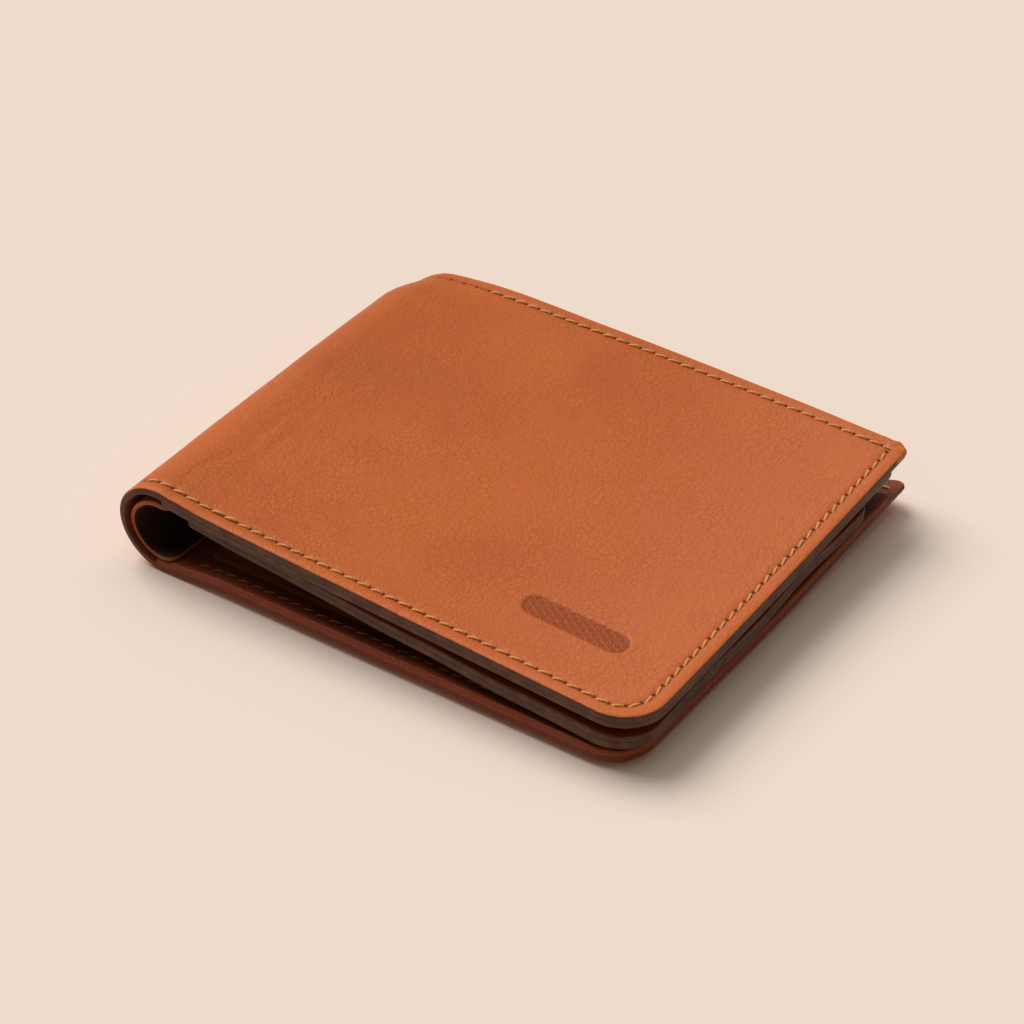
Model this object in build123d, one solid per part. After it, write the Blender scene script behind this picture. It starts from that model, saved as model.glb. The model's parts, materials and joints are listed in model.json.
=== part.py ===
from build123d import *

"""Three-leaf folding leather wallet, closed and lying on its back cover.

Millimetres. +X runs from the spine to the free edges, +Y from the sewn near edge to the note opening, +Z up.
The origin is the centre of the bounding box's base.

Each cover is a stack of sheets, from its outer face inwards: shell leather, lining, an open gap for notes, the
inner panel, a pocket lining and the card slots. The bend of the spine is cut into straight slices. They turn
about lines on the shell's outer face, so that the spine unrolls flat when the wallet opens. A leather strip
follows the bend on the inside, and laps onto both inner panels. The centre leaf, with a clear window on one
side and card slots on the other, is hinged to the front cover's inner panel beside that lap.

A sheet is drawn flat and given a depth: its distance from the outer face of its own leaf.
"""

import os
from math import cos, radians, sin, tan

# Outside size of the closed wallet
CLOSED_WIDTH = 114.0
HEIGHT = 94.5
BEND_RADIUS = 8.8
FRONT_TILT = 2.4
BACK_SETBACK = 2.0

# Sheet thicknesses
SHELL_T = 1.4
LINING_T = 0.3
NOTE_GAP = 0.3
PANEL_T = 0.8
POCKET_LINING_T = 0.15
SLOT_T = 0.35
STRIP_T = 1.0

# Outlines of the covers and what is sewn to them
NEAR_CORNER = 9.0
FAR_CORNER = 2.5
RIM_WIDTH = 5.5
LINING_MARGIN = 6.0
PANEL_TOP_DROP = 6.0
STRIP_LAP = 6.2
SLOT_START = 10.5
SLOT_MARGIN = 5.6
SLOT_TOP_DROP = 10.0
SLOT_STEP = 12.0
BACK_SLOTS = 3
FRONT_SLOTS = 2

# Spine
SLICE_COUNT = 3
SLICE_CLEARANCE = 0.04

# Seams
SEAM_INSET = 2.9
GROOVE_WIDTH = 0.9
GROOVE_DEPTH = 0.25
THREAD_WIDTH = 0.6
THREAD_T = 0.2
OUTER_SEAM_START = 4.0
INNER_SEAM_START = 9.0

# Debossed badge on the front cover
BADGE_LENGTH = 22.0
BADGE_WIDTH = 5.4
BADGE_DEPTH = 0.25
BADGE_FROM_FREE_EDGE = 24.0
BADGE_FROM_NEAR_EDGE = 16.8

# Centre leaf
LEAF_START = 7.2
LEAF_DEPTH = 4.1
LEAF_TILT = 0.7
LEAF_FREE_SETBACK = 2.2
LEAF_NEAR_INSET = 0.6
LEAF_TOP_DROP = 13.0
LEAF_CORNER = 8.5
LEAF_TOP_CORNER = 3.0
FRAME_T = 0.7
WINDOW_T = 0.2
CARD_GAP = 0.3
CORE_T = 0.6
LEAF_SLOTS = 2
LEAF_SLOT_T = 0.45
WINDOW_BORDER = 13.0
WINDOW_LAP = 4.0
HINGE_STRIP_T = 1.1
HINGE_STRIP_WIDTH = 3.4

# Worked out from the above
LOW_Y = -HEIGHT / 2
HIGH_Y = HEIGHT / 2
JOINT_COUNT = SLICE_COUNT + 1
TURN = (180 + FRONT_TILT) / JOINT_COUNT
MITRE = tan(radians(TURN / 2))
SLICE_LENGTH = 2 * BEND_RADIUS * MITRE
LINING_DEPTH = SHELL_T
PANEL_DEPTH = SHELL_T + LINING_T + NOTE_GAP
PANEL_FACE = PANEL_DEPTH + PANEL_T
PANEL_HIGH = HIGH_Y - PANEL_TOP_DROP
LEAF_LOW = LOW_Y + LEAF_NEAR_INSET
LEAF_HIGH = HIGH_Y - LEAF_TOP_DROP


def heading(joint):
    """Direction of the outer face after that many joints, as an angle in the XZ plane."""
    return radians(180 - joint * TURN)


def bend_points():
    """Hinge lines of the spine as (x, z) points, from the back cover to the front cover."""
    points = [(0.0, 0.0)]
    for joint in range(1, JOINT_COUNT):
        x, z = points[-1]
        points.append((x + SLICE_LENGTH * cos(heading(joint)), z + SLICE_LENGTH * sin(heading(joint))))
    shift = -CLOSED_WIDTH / 2 - min(x for x, _ in points)
    return [(x + shift, z) for x, z in points]


HINGES = bend_points()
BACK_PLACE = Pos(HINGES[0][0], 0, 0)
FRONT_PLACE = Location((HINGES[-1][0], 0, HINGES[-1][1]), (0, FRONT_TILT, 0))
LEAF_PLACE = FRONT_PLACE * Location((LEAF_START, 0, -LEAF_DEPTH), (0, LEAF_TILT, 0))
BACK_LENGTH = CLOSED_WIDTH / 2 - BACK_SETBACK - HINGES[0][0]
FRONT_LENGTH = (CLOSED_WIDTH / 2 - HINGES[-1][0]) / cos(radians(FRONT_TILT))
LEAF_LENGTH = FRONT_LENGTH - LEAF_START - LEAF_FREE_SETBACK


def outline(start, stop, low, high, near_corner=0.0, far_corner=0.0):
    """Flat outline with its two free corners rounded."""
    face = Pos(start, low) * Rectangle(stop - start, high - low, align=(Align.MIN, Align.MIN))
    if near_corner > 0:
        face = fillet(max(face.vertices(), key=lambda corner: corner.X - corner.Y), near_corner)
    if far_corner > 0:
        face = fillet(max(face.vertices(), key=lambda corner: corner.X + corner.Y), far_corner)
    return face


def layer(shape, depth, thickness, inward):
    """Sheet at that depth. inward is 1 on the back cover and -1 on the front cover."""
    return extrude(Pos(0, 0, inward * depth) * shape, inward * thickness)


def sheet_start(depth):
    """Where a sheet whose inner face is at that depth starts, clear of the neighbouring slice."""
    return depth * MITRE + SLICE_CLEARANCE


def band(start, stop, low, high, inset, width, near_corner, far_corner):
    """Strip of that width following the edge at that inset, open at the spine. No far corner: open there too."""
    outer_inset = inset - width / 2
    inner_inset = inset + width / 2
    closed_top = far_corner > 0
    outer_high = high - outer_inset if closed_top else high
    inner_high = high - inner_inset if closed_top else high + width
    outer = outline(
        start, stop - outer_inset, low + outer_inset, outer_high, near_corner - outer_inset,
        max(far_corner - outer_inset, 0),
    )
    inner = outline(
        start - width, stop - inner_inset, low + inner_inset, inner_high, near_corner - inner_inset,
    )
    return outer - inner


def seam(start, stop, low, high, face_depth, inward, near_corner, far_corner):
    """Groove and thread of a seam sunk in a face. inward points from that face into the leather."""
    groove = band(start, stop, low, high, SEAM_INSET, GROOVE_WIDTH, near_corner, far_corner)
    thread = band(
        start + GROOVE_WIDTH / 2, stop, low, high, SEAM_INSET, THREAD_WIDTH, near_corner, far_corner
    )
    floor = face_depth + inward * GROOVE_DEPTH
    return (
        extrude(Pos(0, 0, floor) * groove, -inward * GROOVE_DEPTH),
        extrude(Pos(0, 0, floor) * thread, -inward * THREAD_T),
    )


def rimmed(shape, opening, depth, thickness, rim, inward):
    """Sheet with a rim on its outer side, all round but for the opening."""
    return layer(shape, depth, thickness, inward) + layer(shape - opening, depth - rim, rim, inward)


def cover(name, length, inward, slots):
    """Sheets and threads of one cover, flat, with its hinge line at x = 0 and its outer face at z = 0."""
    parts = {}
    shell_outline = outline(sheet_start(SHELL_T), length, LOW_Y, HIGH_Y, NEAR_CORNER, FAR_CORNER)
    groove, thread = seam(
        OUTER_SEAM_START, length, LOW_Y, HIGH_Y, 0, inward, NEAR_CORNER, FAR_CORNER
    )
    parts[f"{name}_shell"] = layer(shell_outline, 0, SHELL_T, inward) - groove
    parts[f"{name}_outer_thread"] = thread

    lining_low = LOW_Y + LINING_MARGIN
    lining_outline = outline(
        sheet_start(LINING_DEPTH + LINING_T), length - LINING_MARGIN, lining_low, HIGH_Y - FAR_CORNER,
        FAR_CORNER, FAR_CORNER,
    )
    parts[f"{name}_lining"] = layer(lining_outline, LINING_DEPTH, LINING_T, inward)

    panel_outline = outline(sheet_start(PANEL_FACE), length, LOW_Y, PANEL_HIGH, NEAR_CORNER, FAR_CORNER)
    note_opening = outline(-1, length - RIM_WIDTH, LOW_Y + RIM_WIDTH, HIGH_Y, FAR_CORNER)
    panel = rimmed(panel_outline, note_opening, PANEL_DEPTH, PANEL_T, LINING_T + NOTE_GAP, inward)
    groove, thread = seam(
        INNER_SEAM_START, length, LOW_Y, PANEL_HIGH, inward * PANEL_FACE, -inward, NEAR_CORNER, 0
    )
    parts[f"{name}_inner_panel"] = panel - groove
    parts[f"{name}_inner_thread"] = thread

    strip_outline = outline(sheet_start(PANEL_FACE + STRIP_T), STRIP_LAP, LOW_Y, PANEL_HIGH)
    parts[f"{name}_strip_lap"] = layer(strip_outline, PANEL_FACE, STRIP_T, inward)

    slot_low = LOW_Y + SLOT_MARGIN
    slot_stop = length - SLOT_MARGIN
    slot_high = PANEL_HIGH - SLOT_TOP_DROP
    pocket_outline = outline(SLOT_START, slot_stop, slot_low, slot_high + SLOT_STEP / 2, FAR_CORNER)
    parts[f"{name}_pocket_lining"] = layer(pocket_outline, PANEL_FACE, POCKET_LINING_T, inward)
    for slot in range(slots):
        slot_outline = outline(SLOT_START, slot_stop, slot_low, slot_high - slot * SLOT_STEP, FAR_CORNER)
        depth = PANEL_FACE + POCKET_LINING_T + slot * SLOT_T
        parts[f"{name}_card_slot_{slot + 1}"] = layer(slot_outline, depth, SLOT_T, inward)
    return parts


def back_cover():
    return {node: BACK_PLACE * shape for node, shape in cover("back", BACK_LENGTH, 1, BACK_SLOTS).items()}


def front_cover():
    """The front cover has a badge on its outer face and carries the fixed half of the centre leaf's hinge."""
    parts = cover("front", FRONT_LENGTH, -1, FRONT_SLOTS)
    badge_x = FRONT_LENGTH - BADGE_FROM_FREE_EDGE
    badge = Pos(badge_x, LOW_Y + BADGE_FROM_NEAR_EDGE) * SlotOverall(BADGE_LENGTH, BADGE_WIDTH)
    parts["front_shell"] -= layer(badge, 0, BADGE_DEPTH, -1)
    strip = outline(STRIP_LAP + SLICE_CLEARANCE, STRIP_LAP + HINGE_STRIP_WIDTH, LEAF_LOW + LEAF_CORNER, LEAF_HIGH)
    parts["leaf_hinge_strip"] = layer(strip, PANEL_FACE, HINGE_STRIP_T, -1)
    return {node: FRONT_PLACE * shape for node, shape in parts.items()}


def slice_layer(joint, depth, thickness, low, high):
    """One sheet of one slice of the spine: a trapezium between its two mitres."""
    x, z = HINGES[joint - 1]
    along = Vector(cos(heading(joint)), 0, sin(heading(joint)))
    across = Vector(sin(heading(joint)), 0, -cos(heading(joint)))
    corners = []
    for level, from_end in ((depth, False), (depth, True), (depth + thickness, True), (depth + thickness, False)):
        reach = SLICE_LENGTH - sheet_start(level) if from_end else sheet_start(level)
        corners.append(Vector(x, low, z) + along * reach + across * level)
    section = make_face(Polyline(*corners, close=True))
    return extrude(section, high - low, dir=(0, 1, 0))


def spine():
    parts = {}
    for joint in range(1, JOINT_COUNT):
        parts[f"spine_leather_{joint}"] = slice_layer(joint, 0, SHELL_T, LOW_Y, HIGH_Y)
        parts[f"spine_lining_{joint}"] = slice_layer(
            joint, LINING_DEPTH, LINING_T, LOW_Y + LINING_MARGIN, HIGH_Y - FAR_CORNER
        )
        parts[f"spine_strip_{joint}"] = slice_layer(joint, PANEL_FACE, STRIP_T, LOW_Y, PANEL_HIGH)
    return parts


def centre_leaf():
    """Centre leaf, drawn flat with its hinge line at x = 0 and z = 0, and its window side on top."""
    parts = {}
    whole = outline(0, LEAF_LENGTH, LEAF_LOW, LEAF_HIGH, LEAF_CORNER, LEAF_TOP_CORNER)
    window = outline(
        WINDOW_BORDER, LEAF_LENGTH - WINDOW_BORDER, LEAF_LOW + WINDOW_BORDER, LEAF_HIGH - WINDOW_BORDER,
        FAR_CORNER, FAR_CORNER,
    )
    film = outline(
        WINDOW_BORDER - WINDOW_LAP, LEAF_LENGTH - WINDOW_BORDER + WINDOW_LAP,
        LEAF_LOW + WINDOW_BORDER - WINDOW_LAP, LEAF_HIGH - WINDOW_BORDER + WINDOW_LAP,
    )
    card_space = outline(
        RIM_WIDTH, LEAF_LENGTH - RIM_WIDTH, LEAF_LOW + RIM_WIDTH, LEAF_HIGH + RIM_WIDTH, FAR_CORNER
    )
    rim = WINDOW_T + CARD_GAP
    frame = layer(whole - window, 0, FRAME_T, -1) + layer(whole - card_space, FRAME_T, rim, -1)
    groove, thread = seam(
        RIM_WIDTH / 2, LEAF_LENGTH, LEAF_LOW, LEAF_HIGH, 0, -1, LEAF_CORNER, LEAF_TOP_CORNER
    )
    parts["leaf_window_frame"] = frame - groove
    parts["leaf_window_thread"] = thread
    parts["leaf_window"] = layer(film, FRAME_T, WINDOW_T, -1)

    core_depth = FRAME_T + rim
    core_face = core_depth + CORE_T
    groove, thread = seam(
        RIM_WIDTH / 2, LEAF_LENGTH, LEAF_LOW, LEAF_HIGH, -core_face, 1, LEAF_CORNER, LEAF_TOP_CORNER
    )
    parts["leaf_back"] = layer(whole, core_depth, CORE_T, -1) - groove
    parts["leaf_back_thread"] = thread
    for slot in range(LEAF_SLOTS):
        slot_high = LEAF_HIGH - SLOT_TOP_DROP - slot * SLOT_STEP
        slot_outline = outline(
            SLOT_MARGIN, LEAF_LENGTH - SLOT_MARGIN, LEAF_LOW + SLOT_MARGIN, slot_high, FAR_CORNER
        )
        parts[f"leaf_card_slot_{slot + 1}"] = layer(slot_outline, core_face + slot * LEAF_SLOT_T, LEAF_SLOT_T, -1)
    return {node: LEAF_PLACE * shape for node, shape in parts.items()}


os.makedirs("parts", exist_ok=True)
for node, shape in {**back_cover(), **spine(), **front_cover(), **centre_leaf()}.items():
    export_step(shape, f"parts/{node}.step")
for number, (x, z) in enumerate(HINGES, 1):
    print(f"spine hinge {number}: x {x:.4f}, z {z:.4f}")
leaf_hinge = LEAF_PLACE.position
print(f"leaf hinge: x {leaf_hinge.X:.4f}, z {leaf_hinge.Z:.4f}; turn {TURN:.4f}")
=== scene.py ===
# %% [markdown]
# # A folding leather wallet, dressed for its portrait
#
# A wallet is almost nothing but sheets: one long tan hide that wraps the outside, a cloth lining, inner
# panels, card slots and a small centre leaf. The frame we load holds those sheets as flat plates and short
# straight slices. Everything here is the soft version of the same sheets: bent, sewn, painted along the edges
# and a little warped from being carried. We load the frame first, because places and sizes are read from it.

# %% Load the frame
import json
import math
import random

import bmesh
import bpy
import numpy as np
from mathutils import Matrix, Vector


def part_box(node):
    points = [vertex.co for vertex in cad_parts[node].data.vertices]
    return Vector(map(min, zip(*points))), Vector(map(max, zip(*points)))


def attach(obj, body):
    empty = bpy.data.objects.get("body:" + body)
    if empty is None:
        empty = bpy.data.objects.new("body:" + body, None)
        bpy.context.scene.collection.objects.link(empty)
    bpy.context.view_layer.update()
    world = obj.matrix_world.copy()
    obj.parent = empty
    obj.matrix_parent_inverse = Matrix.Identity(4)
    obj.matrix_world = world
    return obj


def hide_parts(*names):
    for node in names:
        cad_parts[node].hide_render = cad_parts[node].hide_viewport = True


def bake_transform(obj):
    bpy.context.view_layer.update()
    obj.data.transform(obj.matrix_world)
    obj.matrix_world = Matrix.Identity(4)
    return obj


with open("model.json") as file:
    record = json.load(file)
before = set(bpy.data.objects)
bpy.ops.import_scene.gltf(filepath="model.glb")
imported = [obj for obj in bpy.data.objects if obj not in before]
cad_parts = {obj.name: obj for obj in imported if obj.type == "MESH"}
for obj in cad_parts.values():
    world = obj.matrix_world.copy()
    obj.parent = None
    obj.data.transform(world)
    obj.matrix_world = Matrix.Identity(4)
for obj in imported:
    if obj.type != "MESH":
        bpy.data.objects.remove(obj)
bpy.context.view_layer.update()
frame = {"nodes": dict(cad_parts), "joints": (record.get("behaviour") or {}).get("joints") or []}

MM = 0.001

# %% [markdown]
# ## The hide as a map
#
# A bent sheet is hard to draw and easy to unroll. On the bench the hide lies flat, so every piece of it is first
# made flat, in hide coordinates: u runs along the outer face from the middle of the spine (minus is the back
# cover, plus is the front), y runs from the near edge to the note opening, and depth goes inwards from the outer
# face. One function then rolls those coordinates round the spine. Anything built this way, leather, thread or
# lining, lands in the right place and fits its neighbours. The bend's radius comes from the frame's hinges.

# %% Read the bend from the hinges
spine_folds = [joint for joint in frame["joints"] if joint["name"].startswith("spine_fold")]
hinges = [Vector(joint["pos_m"]) for joint in spine_folds]
turn = math.radians(spine_folds[0]["range_deg"][1])
slice_length = (hinges[1] - hinges[0]).length
bend_radius = slice_length / (2 * math.tan(turn / 2))
bend_x = hinges[0].x + slice_length / 2
bend_angle = turn * len(hinges)
half_arc = bend_radius * bend_angle / 2
front_tilt = bend_angle - math.pi
near_y, far_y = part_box("front_shell")[0].y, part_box("front_shell")[1].y
height = far_y - near_y
u_back = -half_arc - (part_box("back_shell")[1].x - bend_x)
front_start_x = bend_x - bend_radius * math.sin(bend_angle)
u_front = half_arc + (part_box("front_shell")[1].x - front_start_x) / math.cos(front_tilt)
print(f"bend radius {bend_radius / MM:.2f} mm, hide {(u_front - u_back) / MM:.1f} by {height / MM:.1f} mm")

# %% [markdown]
# ## The set of a used wallet
#
# A new wallet would close like a box. This one springs a little: the far corner of the front cover stands up,
# its near corner hugs the leaf, its far edge bows, and the spine's roll swells. These are small lifts, worked
# out from where a point lies on the hide, and added along the cover's own normal.

# %% How far the front cover is lifted
FAR_CORNER_LIFT = 2.9 * MM
NEAR_CORNER_DROP = 0.9 * MM
ROLL_SWELL = 1.45 * MM
SHOULDER_SAG = 0.3 * MM
FAR_SHOULDER_SAG = 2.3 * MM
FAR_BOW = 0.9 * MM
EDGE_RISE = 1.3 * MM
BACK_CORNER_LIFT = 2.6 * MM
CORNER_PULL = 2.8 * MM
FAR_ROUNDING = 4.2 * MM


def ease(x):
    x = np.clip(x, 0, 1)
    return x * x * (3 - 2 * x)


def bell(x, centre, width):
    return np.exp(-(((x - centre) / width) ** 2))


def lift(u, y):
    """Outward shift of the front cover and the top of the roll, in metres."""
    across = np.clip((y - near_y) / height, 0, 1)
    along = np.clip((u - half_arc) / (u_front - half_arc), 0, 1)
    corners = along**1.3 * (across**1.5 * (FAR_CORNER_LIFT + NEAR_CORNER_DROP) - NEAR_CORNER_DROP)
    width = np.where(u < half_arc - 9 * MM, 9 * MM, 19 * MM)
    roll = ROLL_SWELL * bell(u, half_arc - 9 * MM, width) * (1 + 0.2 * np.sin(math.pi * across))
    shoulder = SHOULDER_SAG * bell(u, half_arc + 9 * MM, 9 * MM) * (1 - ease(across / 0.5))
    far = FAR_SHOULDER_SAG * bell(u, half_arc - 4 * MM, 13 * MM) * ease((across - 0.84) / 0.16)
    bow = FAR_BOW * np.sin(math.pi * along) * across**2
    return corners + roll + bow - shoulder - far


def back_rise(u, y):
    """How far the back cover stands off the table: its sewn edges a little, its far free corner more."""
    across = np.clip((y - near_y) / height, 0, 1)
    along = np.clip((-u - half_arc) / (-u_back - half_arc), 0, 1)
    to_edge = np.minimum(y - near_y, u - u_back)
    edges = EDGE_RISE * (1 - ease(to_edge / (8 * MM))) * ease(along / 0.15)
    return edges + BACK_CORNER_LIFT * along**2 * ease((across - 0.45) / 0.55) ** 1.2


def spread(u, y):
    """The back cover's far free corner is pulled out, and the far end of the roll is rounded off."""
    across = np.clip((y - near_y) / height, 0, 1)
    along = np.clip((-u - half_arc) / (-u_back - half_arc), 0, 1)
    pull = along**2 * across**2
    roll = bell(u, half_arc - 12 * MM, 9 * MM) * np.clip((across - 0.82) / 0.18, 0, 1) ** 2
    return u - 0.8 * MM * pull, y + CORNER_PULL * pull - FAR_ROUNDING * roll


def roll_up(u, y, depth):
    """Hide coordinates to places in the closed wallet, as arrays."""
    shift = lift(u, y) - back_rise(u, y)
    u, y = spread(u, y)
    on_arc = np.clip(u, -half_arc, half_arc)
    beyond = u - on_arc
    angle = on_arc / bend_radius + bend_angle / 2
    out_x, out_z = -np.sin(angle), -np.cos(angle)
    reach = bend_radius - depth + shift
    x = bend_x + reach * out_x - beyond * np.cos(angle)
    z = bend_radius + reach * out_z + beyond * np.sin(angle)
    return np.stack([x, y, z], axis=-1)


free_corners = roll_up(np.array([u_front] * 2), np.array([near_y, far_y]), 0)
print("near and far free corners in mm:", (free_corners / MM).round(1))

# %% [markdown]
# ## The centre leaf's own map
#
# The centre leaf hangs on a strip beside the front cover's spine lap, and is flat. Its coordinates run from that
# hinge line, and its depth goes down from its window side. Its free far corner follows the cover up.

# %% Place points on the leaf
leaf_joint = next(joint for joint in frame["joints"] if joint["name"] == "leaf_fold")
leaf_hinge = Vector(leaf_joint["pos_m"])
film_faces = frame["nodes"]["leaf_window"].data.polygons
film_normal = max(film_faces, key=lambda face: face.area).normal
leaf_tilt = math.atan2(abs(film_normal.x), abs(film_normal.z))
leaf_low, leaf_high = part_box("leaf_window_frame")[0].y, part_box("leaf_window_frame")[1].y
leaf_length = (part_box("leaf_window_frame")[1].x - leaf_hinge.x) / math.cos(leaf_tilt)
LEAF_FAR_LIFT = 3.0 * MM
LEAF_NEAR_DROP = 0.5 * MM
NEAR_TUCK = 2.6 * MM
FREE_WAVE = 0.28 * MM


def leaf_lift(u, y):
    across = np.clip((y - near_y) / height, 0, 1)
    along = np.clip(u / leaf_length, 0, 1)
    return along**1.4 * (across**1.4 * (LEAF_FAR_LIFT + LEAF_NEAR_DROP) - LEAF_NEAR_DROP)


def hang_leaf(u, y, depth):
    """Leaf coordinates to places. The near edge is tucked in by the hinge, and the free edge a little wavy."""
    across = np.clip((y - near_y) / height, 0, 1)
    along = np.clip(u / leaf_length, 0, 1)
    y = y + NEAR_TUCK * (1 - along) ** 1.5 * (1 - across) ** 2
    u = u + FREE_WAVE * np.sin(across * 17 + 0.6) * along**6 * (0.4 + across)
    sine, cosine = math.sin(leaf_tilt), math.cos(leaf_tilt)
    drop = depth - leaf_lift(u, y)
    x = leaf_hinge.x + u * cosine - drop * sine
    z = leaf_hinge.z - u * sine - drop * cosine
    return np.stack([x, y, z], axis=-1)


print(f"leaf {leaf_length / MM:.1f} mm long, tilted {math.degrees(leaf_tilt):.2f} degrees")

# %% [markdown]
# ## Camera, floor and light
#
# Small goods are shown through a long lens from above a corner, which keeps their edges nearly parallel. The
# floor is a seamless pale sweep. A wide soft sun stands behind the spine, so that the cover glows and the open
# near side falls into shade, and a weaker one overhead opens the shadows.

# %% Set up the studio
scene = bpy.context.scene
scene.view_settings.view_transform = "Standard"
VIEW_AZIMUTH, VIEW_ELEVATION, VIEW_DISTANCE = math.radians(34.5), math.radians(37), 0.624
camera_data = bpy.data.cameras.new("portrait_camera")
camera_data.lens = 114.6
camera = bpy.data.objects.new("portrait_camera", camera_data)
scene.collection.objects.link(camera)
towards_camera = Vector(
    (
        math.sin(VIEW_AZIMUTH) * math.cos(VIEW_ELEVATION),
        -math.cos(VIEW_AZIMUTH) * math.cos(VIEW_ELEVATION),
        math.sin(VIEW_ELEVATION),
    )
)
aim = Vector((-5.2 * MM, 5.2 * MM, 0))
camera.location = aim + towards_camera * VIEW_DISTANCE
camera.rotation_euler = towards_camera.to_track_quat("Z", "Y").to_euler()
camera_data.clip_start, camera_data.clip_end = 0.01, 20
scene.camera = camera


# %% Helpers for colour and nodes
def colour(code):
    """sRGB hex to the linear colour that shaders take."""
    channels = [int(code[i : i + 2], 16) / 255 for i in (1, 3, 5)]
    linear = [c / 12.92 if c <= 0.04045 else ((c + 0.055) / 1.055) ** 2.4 for c in channels]
    return (*linear, 1.0)


def add(tree, kind, links=None, **settings):
    """Adds a node. A setting named after a property sets it; any other sets the input of that name or number."""
    node = tree.nodes.new(kind)
    inputs = settings.pop("inputs", {})
    for name, value in settings.items():
        setattr(node, name, value)
    for name, value in inputs.items():
        node.inputs[name].default_value = value
    for name, source in (links or {}).items():
        tree.links.new(source, node.inputs[name])
    return node


def new_material(name):
    """An empty material with its shader, which is returned with the node tree."""
    material = bpy.data.materials.new(name)
    material.use_nodes = True
    tree = material.node_tree
    tree.nodes.clear()
    shader = add(tree, "ShaderNodeBsdfPrincipled")
    add(tree, "ShaderNodeOutputMaterial", {"Surface": shader.outputs[0]})
    return material, tree, shader


# %% Floor and lights
FLOOR_SIZE = 6.0


def make_floor():
    bm = bmesh.new()
    bmesh.ops.create_grid(bm, x_segments=1, y_segments=1, size=FLOOR_SIZE / 2)
    mesh = bpy.data.meshes.new("studio_floor")
    bm.to_mesh(mesh)
    bm.free()
    floor = bpy.data.objects.new("studio_floor", mesh)
    scene.collection.objects.link(floor)
    material, _, shader = new_material("pale_paper_sweep")
    shader.inputs["Base Color"].default_value = colour("#EDDBCC")
    shader.inputs["Roughness"].default_value = 0.9
    shader.inputs["Specular IOR Level"].default_value = 0.1
    mesh.materials.append(material)


def add_sun(name, towards, power, softness):
    """A sun that shines from that direction. Its softness is its angle in degrees."""
    data = bpy.data.lights.new(name, "SUN")
    data.energy = power
    data.angle = math.radians(softness)
    light = bpy.data.objects.new(name, data)
    light.location = towards
    light.rotation_euler = towards.to_track_quat("Z", "Y").to_euler()
    scene.collection.objects.link(light)


make_floor()
to_right = Vector((math.cos(VIEW_AZIMUTH), math.sin(VIEW_AZIMUTH), 0))
to_back = Vector((-math.sin(VIEW_AZIMUTH), math.cos(VIEW_AZIMUTH), 0))
up = Vector((0, 0, 1))
add_sun("key_from_behind_the_spine", -0.76 * to_right + 0.66 * to_back + 1.3 * up, 2.35, 42)
add_sun("overhead_sheet", 0.5 * to_back + 1.5 * up, 0.7, 60)
world = bpy.data.worlds.new("studio_air")
world.use_nodes = True
world.node_tree.nodes["Background"].inputs["Color"].default_value = colour("#F8F0E8")
world.node_tree.nodes["Background"].inputs["Strength"].default_value = 0.24
scene.world = world
print("camera at", [round(v, 3) for v in camera.location])

# %% [markdown]
# ## One way to make every sheet
#
# A sheet could be a plane with a Solidify modifier, but then its edge would be a sharp ribbon, and a wallet is
# judged by its edges: skived, rounded, painted. So each sheet starts as a grid with its lines crowded near the
# edges, is extruded to a closed slab, has its side walls cut again, and is then moved into shape by plain
# functions. Square corners become round by turning square rings into arcs, which keeps the edge's rings parallel
# to the outline. Each vertex remembers its hide coordinates, which the leather's grain later follows.

# %% The sheet builder
EDGE_LINES = [0, 0.06, 0.16, 0.3, 0.5, 0.8, 1.2, 1.7, 2.2, 2.55, 2.9, 3.25, 3.7, 4.4]
STEP = 0.85 * MM
SIDE_CUTS = 4


def line_places(low, high, step=STEP, extra=(), fine=()):
    """Positions of grid lines from low to high: crowded at both ends and inside the fine ranges."""
    margin = EDGE_LINES[-1] * MM
    places = [low + e * MM for e in EDGE_LINES] + [high - e * MM for e in EDGE_LINES]
    count = max(2, round((high - low - 2 * margin) / step))
    places += list(np.linspace(low + margin, high - margin, count + 1))
    for start, end, fine_step in fine:
        places += list(np.arange(start, end, fine_step))
    places = sorted(p for p in places if all(abs(p - x) > 0.12 * MM for x in extra))
    kept = [places[0]]
    for place in places[1:]:
        if place - kept[-1] > 0.05 * MM:
            kept.append(place)
    return np.array(sorted(kept + list(extra)))


def round_corners(p, q, box, radii):
    """Moves square corners to round ones. Returns the new places, the distance from the edge and the way out."""
    u0, u1, y0, y1 = box
    new_p, new_q = p.copy(), q.copy()
    gaps = np.stack([p - u0, u1 - p, q - y0, y1 - q])
    nearest = gaps.argmin(axis=0)
    edge = gaps.min(axis=0)
    out = np.array([[-1, 0], [1, 0], [0, -1], [0, 1]], float)[nearest]
    corners = [(u0, y0, 1, 1), (u1, y0, -1, 1), (u1, y1, -1, -1), (u0, y1, 1, -1)]
    for (cu, cy, su, sy), radius in zip(corners, radii):
        a = radius - (p - cu) * su
        b = radius - (q - cy) * sy
        inside = (a > 1e-9) & (b > 1e-9)
        ring = np.maximum(a, b)[inside]
        share = (np.minimum(a, b)[inside] / ring) * math.pi / 4
        along_a = np.where(a[inside] >= b[inside], np.cos(share), np.sin(share))
        along_b = np.where(a[inside] >= b[inside], np.sin(share), np.cos(share))
        new_p[inside] = cu + su * (radius - ring * along_a)
        new_q[inside] = cy + sy * (radius - ring * along_b)
        edge[inside] = radius - ring
        out[inside] = np.stack([-su * along_a, -sy * along_b], axis=-1)
    return new_p, new_q, edge, out


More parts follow.
